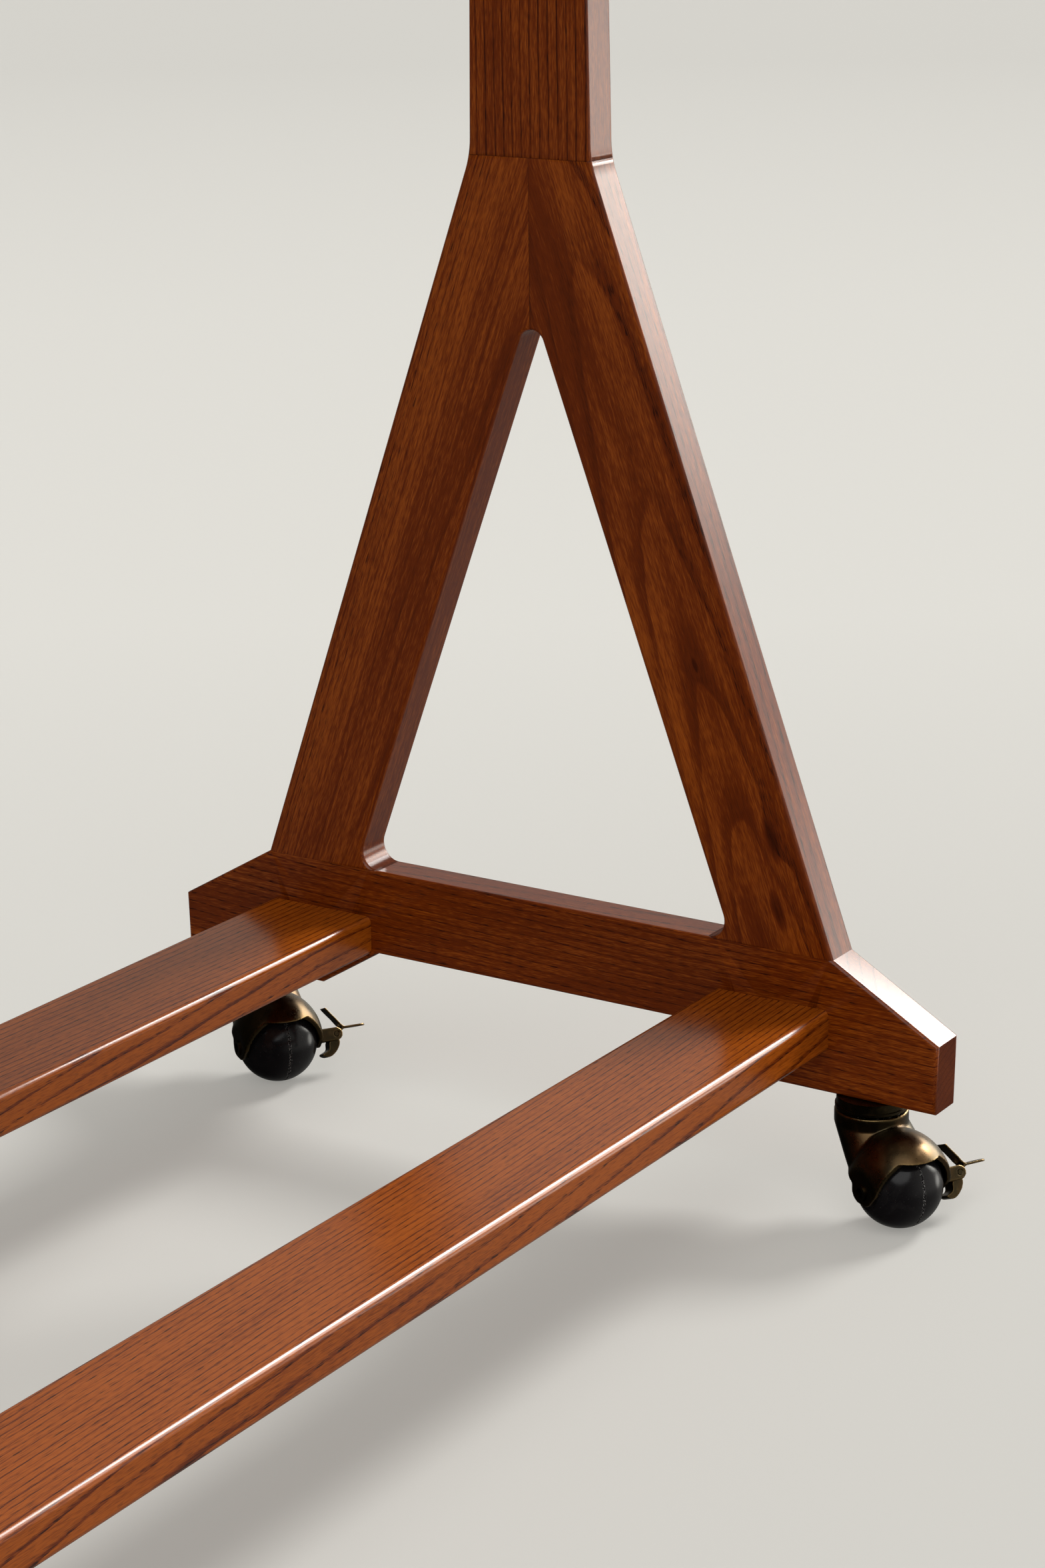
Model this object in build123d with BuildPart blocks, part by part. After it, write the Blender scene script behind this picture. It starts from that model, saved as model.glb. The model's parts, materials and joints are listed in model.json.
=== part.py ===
from build123d import *
from math import cos, radians, sin, sqrt
import os

# Clothes rack: two A-shaped end frames, two lower rails, a hanging bar and four hooded ball casters.
# Whole rack, millimetres. X runs along the rack, Y from front to back, Z up from the floor.
rack_length = 1100.0
rack_height = 1600.0

# Wooden end frame
board_thickness = 26.0
foot_length = 530.0
foot_end_height = 41.0
foot_height = 80.0
foot_end_undercut = 1.0
relief_height = 26.5
relief_floor_half = 160.0
relief_roof_half = 117.0
leg_toe_half = 198.0
opening_half = 132.0
opening_height = 357.5
head_height = 518.0
head_half_width = 40.0
post_top_half_width = 24.0
throat_radius = 55.0
opening_corner_radius = 11.0
opening_apex_radius = 8.5
outline_corner_radius = 2.0
edge_round = 2.5

# Lower rails
rail_width = 75.0
rail_thickness = 25.0
rail_centre = 158.8
rail_lift = 25.0
rail_edge_round = 4.0

# Hanging bar
bar_radius = 16.0
bar_drop = 48.0
bar_socket_depth = 6.0
bar_end_chamfer = 1.0

# Dowels, bolts, nuts and inserts
glue_gap = 0.05
dowel_radius = 5.0
dowel_length = 50.0
dowel_hole_spare = 1.0
dowel_chamfer = 1.0
toe_dowel_spacing = 30.0
head_dowel_spacing = 36.0
mitre_dowel_height = 480.0
rail_dowel_spacing = 44.0
rail_dowel_length = 40.0
rail_dowel_grip = 16.0
rail_bolt_length = 65.0
bar_bolt_length = 40.0
bolt_radius = 3.0
bolt_clearance = 0.25
bolt_head_radius = 6.5
bolt_head_height = 3.0
bolt_socket_across = 4.0
bolt_socket_depth = 2.0
bolt_head_recess = 1.0
barrel_nut_radius = 5.0
barrel_nut_length = 14.0
barrel_nut_inset = 34.0
bolt_past_nut = 4.0
bar_insert_radius = 4.5
bar_insert_length = 20.0

# Caster
caster_inset = 47.0
caster_height = 70.0
ball_radius = 25.0
trail = 29.0
front_caster_heading = 241.5
back_caster_heading = 236.0
stem_radius = 4.0
stem_length = 24.0
stem_insert_radius = 6.0
stem_insert_length = 26.0
swivel_clearance = 0.06
cap_radius = 21.0
cap_height = 6.5
cap_lip = 0.8
cap_lip_height = 1.4
race_gap = 1.5
race_radius = 16.0
race_ball_radius = 2.0
race_ball_count = 14
race_clearance = 0.3
collar_radius = 21.3
collar_height = 8.0
kingpin_head_radius = 7.0
kingpin_head_height = 2.5
kingpin_pocket_depth = 12.0
kingpin_head_round = 2.0
ball_gap = 4.6
hood_wall = 2.9
dome_half_width = 29.0
hub_half = 22.5
ear_gap = 0.8
ear_wall = 3.0
ear_shoulder_radius = 7.0
ear_rear = 9.5
ear_rear_rise = 3.0
ear_front = 6.0
ear_drop = 7.2
ear_bottom_radius = 7.5
rim_knee_reach = 13.4
rim_knee_rise = 1.5
rim_knee_radius = 14.0
visor_reach = 19.0
visor_rise = 21.0
visor_corner_radius = 9.0
axle_radius = 4.0
axle_clearance = 0.06
axle_hollow_radius = 3.0
axle_hollow_depth = 5.0
axle_head_radius = 5.0
axle_head_height = 1.0
ball_shell = 4.0
hub_wall = 3.0
seam_chamfer = 0.5

# Brake lever on the outer ear, leaning back with the front edge of the hood
brake_lean = 24.0
brake_reach = 11.2
brake_drop = 1.2
brake_width = 9.0
brake_side_gap = 0.4
brake_cheek = 1.8
brake_cheek_radius = 4.2
brake_barrel_radius = 3.4
brake_pin_radius = 1.5
brake_pin_clearance = 0.05
brake_plate = 1.4
brake_tab_length = 21.0
brake_tab_rise = 3.4
brake_tab_tip_radius = 4.0
brake_leaf_points = ((6.4, 3.4), (4.4, 6.0), (3.3, 9.6), (2.0, 13.4), (1.2, 17.2))
brake_toe_neck = 3.0
brake_toe_points = (
    (-2.4, -3.0), (2.0, -4.2), (0.2, -9.4), (-2.6, -12.2), (-8.6, -13.6), (-10.6, -12.0), (-6.4, -9.6)
)

# Levels and faces that follow from the sizes above
outer_face = rack_length / 2
inner_face = outer_face - board_thickness
board_middle = outer_face - board_thickness / 2
foot_base = caster_height
foot_top = foot_base + foot_height
head_joint = foot_base + head_height
caster_centre = foot_length / 2 - caster_inset
bar_height = rack_height - bar_drop
rail_middle = foot_base + rail_lift + rail_thickness / 2
dowel_hole_radius = dowel_radius + glue_gap
bolt_hole_radius = bolt_radius + bolt_clearance
head_pocket_radius = bolt_head_radius + bolt_clearance
head_pocket_depth = bolt_head_height + bolt_head_recess
axle_level = ball_radius - caster_height
race_level = -(cap_height + race_gap / 2)
collar_top = -(cap_height + race_gap)
kingpin_reach = kingpin_pocket_depth + race_clearance - collar_top
ear_inner = hub_half + ear_gap
ear_face = ear_inner + ear_wall
cavity_radius = ball_radius + ball_gap
dome_radius = cavity_radius + hood_wall
cavity_half_width = dome_half_width - hood_wall
hub_face_radius = sqrt(ball_radius**2 - hub_half**2)


def both_sides(points):
    """Right half of an outline, from the centre line outwards and up, closed with its mirror image."""
    return list(points) + [(-y, z) for y, z in reversed(points) if y > 0]


def end_planes(y, z, face_distance, outward=True):
    """The same spot on both ends of the rack, as planes that face away from the middle or towards it."""
    places = []
    for side in (1, -1):
        direction = side if outward else -side
        places.append(Plane(origin=(side * face_distance, y, z), x_dir=(0, 1, 0), z_dir=(direction, 0, 0)))
    return places


# Dowel places of the right-hand end frame, each at the middle of its dowel
toe_middle = (leg_toe_half + opening_half) / 2
dowel_places = [Location((board_middle, 0, foot_base + mitre_dowel_height), (90, 0, 0))]
for side in (-1, 1):
    dowel_places.append(Location((board_middle, side * head_dowel_spacing / 2, head_joint)))
    for step in (-0.5, 0.5):
        dowel_y = side * (toe_middle + step * toe_dowel_spacing)
        dowel_places.append(Location((board_middle, dowel_y, foot_top)))

# Right-hand end frame in one blank, cut along its glue lines further down
with BuildPart() as frame_blank:
    with BuildSketch(Plane.YZ.offset(inner_face)) as frame_outline:
        with BuildLine():
            Polyline(
                both_sides([
                    (relief_roof_half, foot_base + relief_height),
                    (relief_floor_half, foot_base),
                    (foot_length / 2 - foot_end_undercut, foot_base),
                    (foot_length / 2, foot_base + foot_end_height),
                    (leg_toe_half, foot_top),
                    (head_half_width, head_joint),
                    (post_top_half_width, rack_height),
                ]),
                close=True,
            )
        make_face()
        outline_corners = frame_outline.vertices()
        throat_corners = outline_corners.group_by(Axis.Y)[-2]
        shoulder_corners = outline_corners.group_by(Axis.Y)[-3]
        other_corners = outline_corners - throat_corners - shoulder_corners
        fillet(throat_corners, radius=throat_radius)
        fillet(other_corners, radius=outline_corner_radius)
        with BuildSketch(mode=Mode.PRIVATE) as opening:
            with BuildLine():
                Polyline(
                    (-opening_half, foot_top),
                    (opening_half, foot_top),
                    (0, foot_top + opening_height),
                    close=True,
                )
            make_face()
            fillet(opening.vertices().sort_by(Axis.Y)[-1], radius=opening_apex_radius)
            fillet(opening.vertices().group_by(Axis.Y)[0], radius=opening_corner_radius)
        add(opening.sketch, mode=Mode.SUBTRACT)
    extrude(amount=board_thickness)
    fillet(frame_blank.faces().filter_by(Axis.X).edges(), radius=edge_round)

    # Dowel holes across the glue lines
    with Locations(*dowel_places):
        Cylinder(dowel_hole_radius, dowel_length + 2 * dowel_hole_spare, mode=Mode.SUBTRACT)

    # Bolt holes with pockets for the heads in the outer face: two for the rails, one for the hanging bar
    rail_spots = ((-rail_centre, rail_middle), (rail_centre, rail_middle))
    with BuildSketch(Plane.YZ.offset(outer_face)):
        with Locations(*rail_spots, (0, bar_height)):
            Circle(bolt_hole_radius)
    extrude(amount=-board_thickness, mode=Mode.SUBTRACT)
    with BuildSketch(Plane.YZ.offset(outer_face)):
        with Locations(*rail_spots, (0, bar_height)):
            Circle(head_pocket_radius)
    extrude(amount=-head_pocket_depth, mode=Mode.SUBTRACT)

    # Rail dowel holes and the socket of the hanging bar in the inner face
    with BuildSketch(Plane.YZ.offset(inner_face)):
        with Locations(*rail_spots):
            with GridLocations(rail_dowel_spacing, 0, 2, 1):
                Circle(dowel_hole_radius)
    extrude(amount=rail_dowel_grip + dowel_hole_spare, mode=Mode.SUBTRACT)
    with BuildSketch(Plane.YZ.offset(inner_face)):
        with Locations((0, bar_height)):
            Circle(bar_radius + glue_gap)
    extrude(amount=bar_socket_depth, mode=Mode.SUBTRACT)

    # Holes in the underside of the foot for the threaded inserts of the casters
    with BuildSketch(Plane.XY.offset(foot_base)):
        with Locations((board_middle, -caster_centre), (board_middle, caster_centre)):
            Circle(stem_insert_radius + glue_gap)
    extrude(amount=stem_insert_length, mode=Mode.SUBTRACT)

# The pieces of one end frame, cut from the blank along the glue lines
with BuildPart() as foot_beam:
    add(frame_blank.part)
    split(bisect_by=Plane.XY.offset(foot_top), keep=Keep.BOTTOM)

with BuildPart() as post:
    add(frame_blank.part)
    split(bisect_by=Plane.XY.offset(head_joint), keep=Keep.TOP)

with BuildPart() as front_leg:
    add(frame_blank.part)
    split(bisect_by=Plane.XY.offset(foot_top), keep=Keep.TOP)
    split(bisect_by=Plane.XY.offset(head_joint), keep=Keep.BOTTOM)
    split(bisect_by=Plane.XZ, keep=Keep.TOP)

with BuildPart() as back_leg:
    add(frame_blank.part)
    split(bisect_by=Plane.XY.offset(foot_top), keep=Keep.TOP)
    split(bisect_by=Plane.XY.offset(head_joint), keep=Keep.BOTTOM)
    split(bisect_by=Plane.XZ, keep=Keep.BOTTOM)

with BuildPart() as frame_dowels:
    with Locations(*dowel_places):
        Cylinder(dowel_radius, dowel_length)
    chamfer(frame_dowels.edges().filter_by(GeomType.CIRCLE), length=dowel_chamfer)

# Lower rails with their bolt, nut and dowel holes at both ends
with BuildPart() as front_rail:
    with Locations((0, -rail_centre, rail_middle)):
        Box(2 * inner_face, rail_width, rail_thickness)
    fillet(front_rail.edges().filter_by(Axis.X), radius=rail_edge_round)
    with BuildSketch(*end_planes(-rail_centre, rail_middle, inner_face)):
        Circle(bolt_hole_radius)
    extrude(amount=-(barrel_nut_inset + barrel_nut_radius + 2 * bolt_past_nut), mode=Mode.SUBTRACT)
    with BuildSketch(*end_planes(-rail_centre, rail_middle, inner_face)):
        with GridLocations(rail_dowel_spacing, 0, 2, 1):
            Circle(dowel_hole_radius)
    extrude(amount=-(rail_dowel_length - rail_dowel_grip + dowel_hole_spare), mode=Mode.SUBTRACT)
    with BuildSketch(Plane.XY.offset(rail_middle - rail_thickness / 2)):
        with Locations((0, -rail_centre)):
            with GridLocations(2 * (inner_face - barrel_nut_inset), 0, 2, 1):
                Circle(barrel_nut_radius + glue_gap)
    extrude(amount=rail_thickness / 2 + barrel_nut_length / 2, mode=Mode.SUBTRACT)

with BuildPart() as back_rail:
    add(front_rail.part.rotate(Axis.Z, 180))

with BuildPart() as rail_dowels:
    for side in (-1, 1):
        with BuildSketch(*end_planes(side * rail_centre, rail_middle, inner_face + rail_dowel_grip)):
            with GridLocations(rail_dowel_spacing, 0, 2, 1):
                Circle(dowel_radius)
    extrude(amount=-rail_dowel_length)
    chamfer(rail_dowels.edges().filter_by(GeomType.CIRCLE), length=dowel_chamfer)

with BuildPart() as rail_bolts:
    for side in (-1, 1):
        bolt_seats = end_planes(side * rail_centre, rail_middle, outer_face - head_pocket_depth)
        with BuildSketch(*bolt_seats):
            Circle(bolt_head_radius)
        extrude(amount=bolt_head_height)
        with BuildSketch(*bolt_seats):
            Circle(bolt_radius)
        extrude(amount=-rail_bolt_length)
        with BuildSketch(*[seat.offset(bolt_head_height) for seat in bolt_seats]):
            RegularPolygon(bolt_socket_across / 2, 6, major_radius=False)
        extrude(amount=-bolt_socket_depth, mode=Mode.SUBTRACT)

with BuildPart() as barrel_nuts:
    for side in (-1, 1):
        with Locations((0, side * rail_centre, rail_middle)):
            with GridLocations(2 * (inner_face - barrel_nut_inset), 0, 2, 1):
                Cylinder(barrel_nut_radius, barrel_nut_length)
        with BuildSketch(*end_planes(side * rail_centre, rail_middle, inner_face)):
            Circle(bolt_radius + glue_gap)
        extrude(amount=-(barrel_nut_inset + 2 * barrel_nut_radius), mode=Mode.SUBTRACT)

# Hanging bar in its sockets, with an insert and a bolt at each end
with BuildPart() as hanging_bar:
    with BuildSketch(Plane.YZ):
        with Locations((0, bar_height)):
            Circle(bar_radius)
    extrude(amount=inner_face + bar_socket_depth, both=True)
    chamfer(hanging_bar.edges().filter_by(GeomType.CIRCLE), length=bar_end_chamfer)
    bar_ends = end_planes(0, bar_height, inner_face + bar_socket_depth)
    with BuildSketch(*bar_ends):
        Circle(bar_insert_radius + glue_gap)
    extrude(amount=-bar_insert_length, mode=Mode.SUBTRACT)
    with BuildSketch(*bar_ends):
        Circle(bolt_hole_radius)
    extrude(amount=-(bar_insert_length + 2 * bolt_past_nut), mode=Mode.SUBTRACT)

with BuildPart() as bar_inserts:
    with BuildSketch(*bar_ends):
        Circle(bar_insert_radius)
        Circle(bolt_radius + glue_gap, mode=Mode.SUBTRACT)
    extrude(amount=-bar_insert_length)

with BuildPart() as bar_bolts:
    bar_bolt_seats = end_planes(0, bar_height, outer_face - head_pocket_depth)
    with BuildSketch(*bar_bolt_seats):
        Circle(bolt_head_radius)
    extrude(amount=bolt_head_height)
    with BuildSketch(*bar_bolt_seats):
        Circle(bolt_radius)
    extrude(amount=-bar_bolt_length)
    with BuildSketch(*[seat.offset(bolt_head_height) for seat in bar_bolt_seats]):
        RegularPolygon(bolt_socket_across / 2, 6, major_radius=False)
    extrude(amount=-bolt_socket_depth, mode=Mode.SUBTRACT)

# Caster in its own frame: stem on Z with the underside of the foot at zero, trail along X, axle along Y.
# The threaded insert and the stem with its riveted lower end
with BuildPart() as stem_insert:
    with BuildSketch():
        Circle(stem_insert_radius)
        Circle(stem_radius + glue_gap, mode=Mode.SUBTRACT)
    extrude(amount=stem_insert_length)

with BuildPart() as stem:
    with BuildSketch(Plane.XY.offset(-kingpin_reach)):
        Circle(stem_radius)
    extrude(amount=kingpin_reach + stem_length)
    with BuildSketch(Plane.XY.offset(-kingpin_reach)):
        Circle(kingpin_head_radius)
    extrude(amount=-kingpin_head_height)
    fillet(stem.edges().filter_by(GeomType.CIRCLE).sort_by(Axis.Z)[0], radius=kingpin_head_round)
    chamfer(stem.edges().filter_by(GeomType.CIRCLE).sort_by(Axis.Z)[-1], length=dowel_chamfer)

# Bearing cap: a pressed disc with a rolled lip and the upper half of the ball race
with BuildPart() as bearing_cap:
    with BuildSketch(Plane.XZ):
        with BuildLine():
            Polyline(
                (stem_radius + glue_gap, 0),
                (cap_radius - cap_lip, 0),
                (cap_radius - cap_lip, -(cap_height - cap_lip_height)),
                (cap_radius, -(cap_height - cap_lip_height)),
                (cap_radius, -cap_height),
                (stem_radius + glue_gap, -cap_height),
                close=True,
            )
        make_face()
        with Locations((race_radius, race_level)):
            Circle(race_ball_radius + glue_gap, mode=Mode.SUBTRACT)
    revolve(axis=Axis.Z)

with BuildPart() as race_balls:
    with Locations((0, 0, race_level)):
        with PolarLocations(race_radius, race_ball_count):
            Sphere(race_ball_radius)

# Hood: collar, oblique neck and dome in one casting, hollow over the ball
ball_place = Plane(origin=(trail, 0, axle_level))
axle_line = Axis((trail, 0, axle_level), (0, 1, 0))
lean_along = cos(radians(brake_lean))
lean_up = sin(radians(brake_lean))
brake_place = Plane(
    origin=(trail + brake_drop * lean_up, ear_face + brake_reach, axle_level - brake_drop * lean_along),
    x_dir=(0, 1, 0),
    z_dir=(lean_along, 0, lean_up),
)


def outer_shoulders(profile):
    """The two corners of a half profile where its curve meets the flats of the ears."""
    rows = profile.vertices().group_by(Axis.Y)
    return [row.sort_by(Axis.X)[-1] for row in (rows[0], rows[-1])]


with BuildPart() as hood:
    with BuildSketch(Plane.XY.offset(collar_top)):
        Circle(collar_radius)
    extrude(amount=-collar_height)
    with BuildSketch(Plane.XY.offset(collar_top - collar_height)):
        Circle(collar_radius)
    with BuildSketch(ball_place):
        Circle(ear_face)
    loft()
    with BuildSketch(ball_place) as dome_half:
        Ellipse(dome_radius, dome_half_width)
        Rectangle(2 * dome_radius, 2 * ear_face, mode=Mode.INTERSECT)
        split(bisect_by=Plane.YZ, keep=Keep.TOP)
        fillet(outer_shoulders(dome_half), radius=ear_shoulder_radius)
    revolve(axis=axle_line)

    # Side outline: sloped back of the neck, round ear, and the front edge that sweeps up into a visor
    with BuildSketch(Plane.XZ) as hood_outline:
        with BuildLine():
            Polyline(
                (-collar_radius, collar_top),
                (-collar_radius, collar_top - collar_height),
                (trail - ear_rear, axle_level + ear_rear_rise),
                (trail - ear_rear, axle_level - ear_drop),
                (trail + ear_front, axle_level - ear_drop),
                (trail + rim_knee_reach, axle_level + rim_knee_rise),
                (trail + visor_reach, axle_level + visor_rise),
                (trail + dome_radius, axle_level + visor_rise),
                (trail + dome_radius, collar_top),
                close=True,
            )
        make_face()
        outline_rows = hood_outline.vertices().group_by(Axis.Y)
        fillet(outline_rows[0], radius=ear_bottom_radius)
        fillet(outline_rows[1], radius=rim_knee_radius)
        fillet(outline_rows[3].sort_by(Axis.X)[0], radius=visor_corner_radius)
    extrude(amount=dome_radius, both=True, mode=Mode.INTERSECT)

    # Cavity over the ball
    with BuildSketch(ball_place) as cavity_half:
        Ellipse(cavity_radius, cavity_half_width)
        Rectangle(2 * cavity_radius, 2 * ear_inner, mode=Mode.INTERSECT)
        split(bisect_by=Plane.YZ, keep=Keep.TOP)
        fillet(outer_shoulders(cavity_half), radius=ear_shoulder_radius - hood_wall)
    revolve(axis=axle_line, mode=Mode.SUBTRACT)

    # Kingpin bore, pocket for its riveted head, and the lower half of the ball race
    with BuildSketch(Plane.XY.offset(collar_top)):
        Circle(stem_radius + swivel_clearance)
    extrude(amount=-(collar_radius + trail), mode=Mode.SUBTRACT)
    with BuildSketch(Plane.XY.offset(collar_top - kingpin_pocket_depth)):
        Circle(kingpin_head_radius + race_clearance)
    extrude(amount=-(collar_radius + trail), mode=Mode.SUBTRACT)
    with BuildSketch(Plane.XZ):
        with Locations((race_radius, race_level)):
            Circle(race_ball_radius + race_clearance)
    revolve(axis=Axis.Z, mode=Mode.SUBTRACT)

    # Axle holes in the ears
    with BuildSketch(Plane.XZ):
        with Locations((trail, axle_level)):
            Circle(axle_radius + glue_gap)
    extrude(amount=dome_radius, both=True, mode=Mode.SUBTRACT)

    # Two cheeks on the outer ear that carry the brake lever
    for side in (-1, 1):
        with BuildSketch(brake_place.offset(side * (brake_width / 2 + brake_side_gap))):
            Circle(brake_cheek_radius)
            with Locations((-(brake_reach + ear_wall / 2) / 2, 0)):
                Rectangle(brake_reach + ear_wall / 2, 2 * brake_cheek_radius)
            Circle(brake_pin_radius + glue_gap, mode=Mode.SUBTRACT)
        extrude(amount=side * brake_cheek)

# Ball wheel: two hollow halves that meet on the seam, each with its own hub tube
with BuildPart() as ball_half:
    with BuildSketch(ball_place) as ball_profile:
        Circle(ball_radius)
        Circle(ball_radius - ball_shell, mode=Mode.SUBTRACT)
        with Locations((0, hub_half / 2)):
            Rectangle(2 * (axle_radius + hub_wall), hub_half)
        with Locations((0, hub_half - ball_shell / 2)):
            Rectangle(2 * hub_face_radius, ball_shell)
        with Locations((0, hub_half / 2)):
            Rectangle(2 * ball_radius, hub_half, mode=Mode.INTERSECT)
        with Locations(((axle_radius + axle_clearance + ball_radius) / 2, hub_half / 2)):
            Rectangle(ball_radius - axle_radius - axle_clearance, hub_half, mode=Mode.INTERSECT)
        seam_corner = ball_profile.vertices().group_by(Axis.Y)[0].sort_by(Axis.X)[-1]
        chamfer(seam_corner, length=seam_chamfer)
    revolve(axis=axle_line)

with BuildPart() as inner_ball_half:
    add(ball_half.part.mirror(Plane.XZ))

# Axle: a rivet with a hollow head on the plain ear, flush with the ear that carries the brake
with BuildPart() as axle_pin:
    with BuildSketch(Plane(origin=(trail, ear_face, axle_level), z_dir=(0, -1, 0))):
        Circle(axle_radius)
    extrude(amount=2 * ear_face)
    with BuildSketch(Plane(origin=(trail, -ear_face, axle_level), z_dir=(0, -1, 0))):
        Circle(axle_head_radius)
    extrude(amount=axle_head_height)
    with BuildSketch(Plane(origin=(trail, -ear_face - axle_head_height, axle_level), z_dir=(0, -1, 0))):
        Circle(axle_hollow_radius)
    extrude(amount=-axle_hollow_depth, mode=Mode.SUBTRACT)

with BuildPart() as brake_pin:
    with BuildSketch(brake_place):
        Circle(brake_pin_radius)
    extrude(amount=brake_width / 2 + brake_side_gap + brake_cheek, both=True)

# Brake lever: barrel on the pin, thumb tab, raised release leaf and the shoe below the ear
with BuildPart() as brake_lever:
    with BuildSketch(brake_place):
        Circle(brake_barrel_radius)
        with BuildLine():
            Spline(*brake_leaf_points)
        trace(line_width=brake_plate)
        with BuildLine():
            Line((0, 0), brake_leaf_points[0])
        trace(line_width=brake_plate)
        with BuildLine():
            Line((brake_leaf_points[0][0], brake_tab_rise), (brake_tab_length, brake_tab_rise))
        trace(line_width=brake_plate)
        with BuildLine():
            Line((0, 0), (0, -brake_barrel_radius - brake_plate))
        trace(line_width=brake_toe_neck)
        with BuildLine():
            Spline(*brake_toe_points, periodic=True)
        make_face()
        Circle(brake_pin_radius + brake_pin_clearance, mode=Mode.SUBTRACT)
    extrude(amount=brake_width / 2, both=True)
    tab_upright = Axis(brake_place.origin, brake_place.y_dir)
    tip_edges = brake_lever.edges().group_by(Axis.Y)[-1].filter_by(tab_upright)
    fillet(tip_edges, radius=brake_tab_tip_radius)

# Write every piece as its own file, named as its node
os.makedirs("parts", exist_ok=True)


def write_piece(piece, name):
    piece.label = name
    export_step(piece, f"parts/{name}.step")


end_frame_pieces = {
    "foot_beam": foot_beam,
    "front_leg": front_leg,
    "back_leg": back_leg,
    "post": post,
    "frame_dowels": frame_dowels,
}
for piece_name, piece in end_frame_pieces.items():
    write_piece(piece.part.moved(Location()), f"right_{piece_name}")
    turned_name = {"front_leg": "back_leg", "back_leg": "front_leg"}.get(piece_name, piece_name)
    write_piece(piece.part.moved(Location((0, 0, 0), (0, 0, 180))), f"left_{turned_name}")

whole_rack_pieces = {
    "front_rail": front_rail,
    "back_rail": back_rail,
    "hanging_bar": hanging_bar,
    "rail_dowels": rail_dowels,
    "rail_bolts": rail_bolts,
    "rail_barrel_nuts": barrel_nuts,
    "bar_bolts": bar_bolts,
    "bar_inserts": bar_inserts,
}
for piece_name, piece in whole_rack_pieces.items():
    write_piece(piece.part, piece_name)

caster_pieces = {
    "stem_insert": stem_insert,
    "stem": stem,
    "bearing_cap": bearing_cap,
    "race_balls": race_balls,
    "hood": hood,
    "outer_ball_half": ball_half,
    "inner_ball_half": inner_ball_half,
    "axle_pin": axle_pin,
    "brake_pin": brake_pin,
    "brake_lever": brake_lever,
}
front_right = Location((board_middle, -caster_centre, foot_base), (0, 0, front_caster_heading))
back_right = Location((board_middle, caster_centre, foot_base), (0, 0, back_caster_heading))
half_turn = Location((0, 0, 0), (0, 0, 180))
caster_places = {
    "right_front": front_right,
    "right_back": back_right,
    "left_back": half_turn * front_right,
    "left_front": half_turn * back_right,
}
for corner, place in caster_places.items():
    for piece_name, piece in caster_pieces.items():
        write_piece(piece.part.moved(place), f"{corner}_{piece_name}")
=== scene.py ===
import json
import math

import bmesh
import bpy
from mathutils import Matrix, Vector


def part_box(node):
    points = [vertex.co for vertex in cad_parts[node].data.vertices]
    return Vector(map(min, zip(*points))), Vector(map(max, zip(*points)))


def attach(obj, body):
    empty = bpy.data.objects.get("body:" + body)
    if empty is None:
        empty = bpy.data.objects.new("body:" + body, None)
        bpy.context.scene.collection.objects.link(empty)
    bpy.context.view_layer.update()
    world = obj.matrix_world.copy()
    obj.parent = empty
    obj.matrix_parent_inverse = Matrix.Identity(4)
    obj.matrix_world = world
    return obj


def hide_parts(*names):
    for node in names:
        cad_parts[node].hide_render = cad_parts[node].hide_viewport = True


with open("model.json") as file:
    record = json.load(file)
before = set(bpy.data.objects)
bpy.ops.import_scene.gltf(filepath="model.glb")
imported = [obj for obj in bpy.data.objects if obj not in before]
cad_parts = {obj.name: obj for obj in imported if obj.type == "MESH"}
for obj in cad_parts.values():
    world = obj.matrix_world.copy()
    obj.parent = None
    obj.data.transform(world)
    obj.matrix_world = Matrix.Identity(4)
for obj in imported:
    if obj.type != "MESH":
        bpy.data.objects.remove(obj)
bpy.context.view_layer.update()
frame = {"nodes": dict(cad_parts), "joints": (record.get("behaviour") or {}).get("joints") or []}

mm = 0.001
corners = ("right_front", "right_back", "left_back", "left_front")
joints = {joint["name"]: joint for joint in frame["joints"]}
print("frame loaded:", len(frame["nodes"]), "nodes")


# Camera fitted to the photograph, measured from the inner face of the right-hand end frame
camera = {
    "behindFace": 1647.9 * mm,      # from that face towards the left-hand end
    "inFront": 1068.1 * mm,         # from the middle of the rack towards the front
    "aboveFoot": 747.3 * mm,        # above the underside of the foot beam
    "turn": 0.5788,                 # radians from +X towards +Y
    "down": 0.2934,
    "roll": -0.0126,
    "lens": 80.26,
    "farthest": 200,
}


def addCamera(c):
    beamLow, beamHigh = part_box("right_foot_beam")
    place = Vector((beamLow.x - c["behindFace"], -c["inFront"], beamLow.z + c["aboveFoot"]))
    level = math.cos(c["down"])
    ahead = Vector((level * math.cos(c["turn"]), level * math.sin(c["turn"]), -math.sin(c["down"])))
    side = Vector((math.sin(c["turn"]), -math.cos(c["turn"]), 0))
    up = side.cross(ahead)
    rolledSide = side * math.cos(c["roll"]) + up * math.sin(c["roll"])
    rolledUp = up * math.cos(c["roll"]) - side * math.sin(c["roll"])
    data = bpy.data.cameras.new("photoCamera")
    data.lens = c["lens"]
    data.clip_end = c["farthest"]
    obj = bpy.data.objects.new("photoCamera", data)
    turned = Matrix((rolledSide, rolledUp, -ahead)).transposed().to_4x4()
    obj.matrix_world = Matrix.Translation(place) @ turned
    bpy.context.scene.collection.objects.link(obj)
    bpy.context.scene.camera = obj


addCamera(camera)
print("camera placed")


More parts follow.
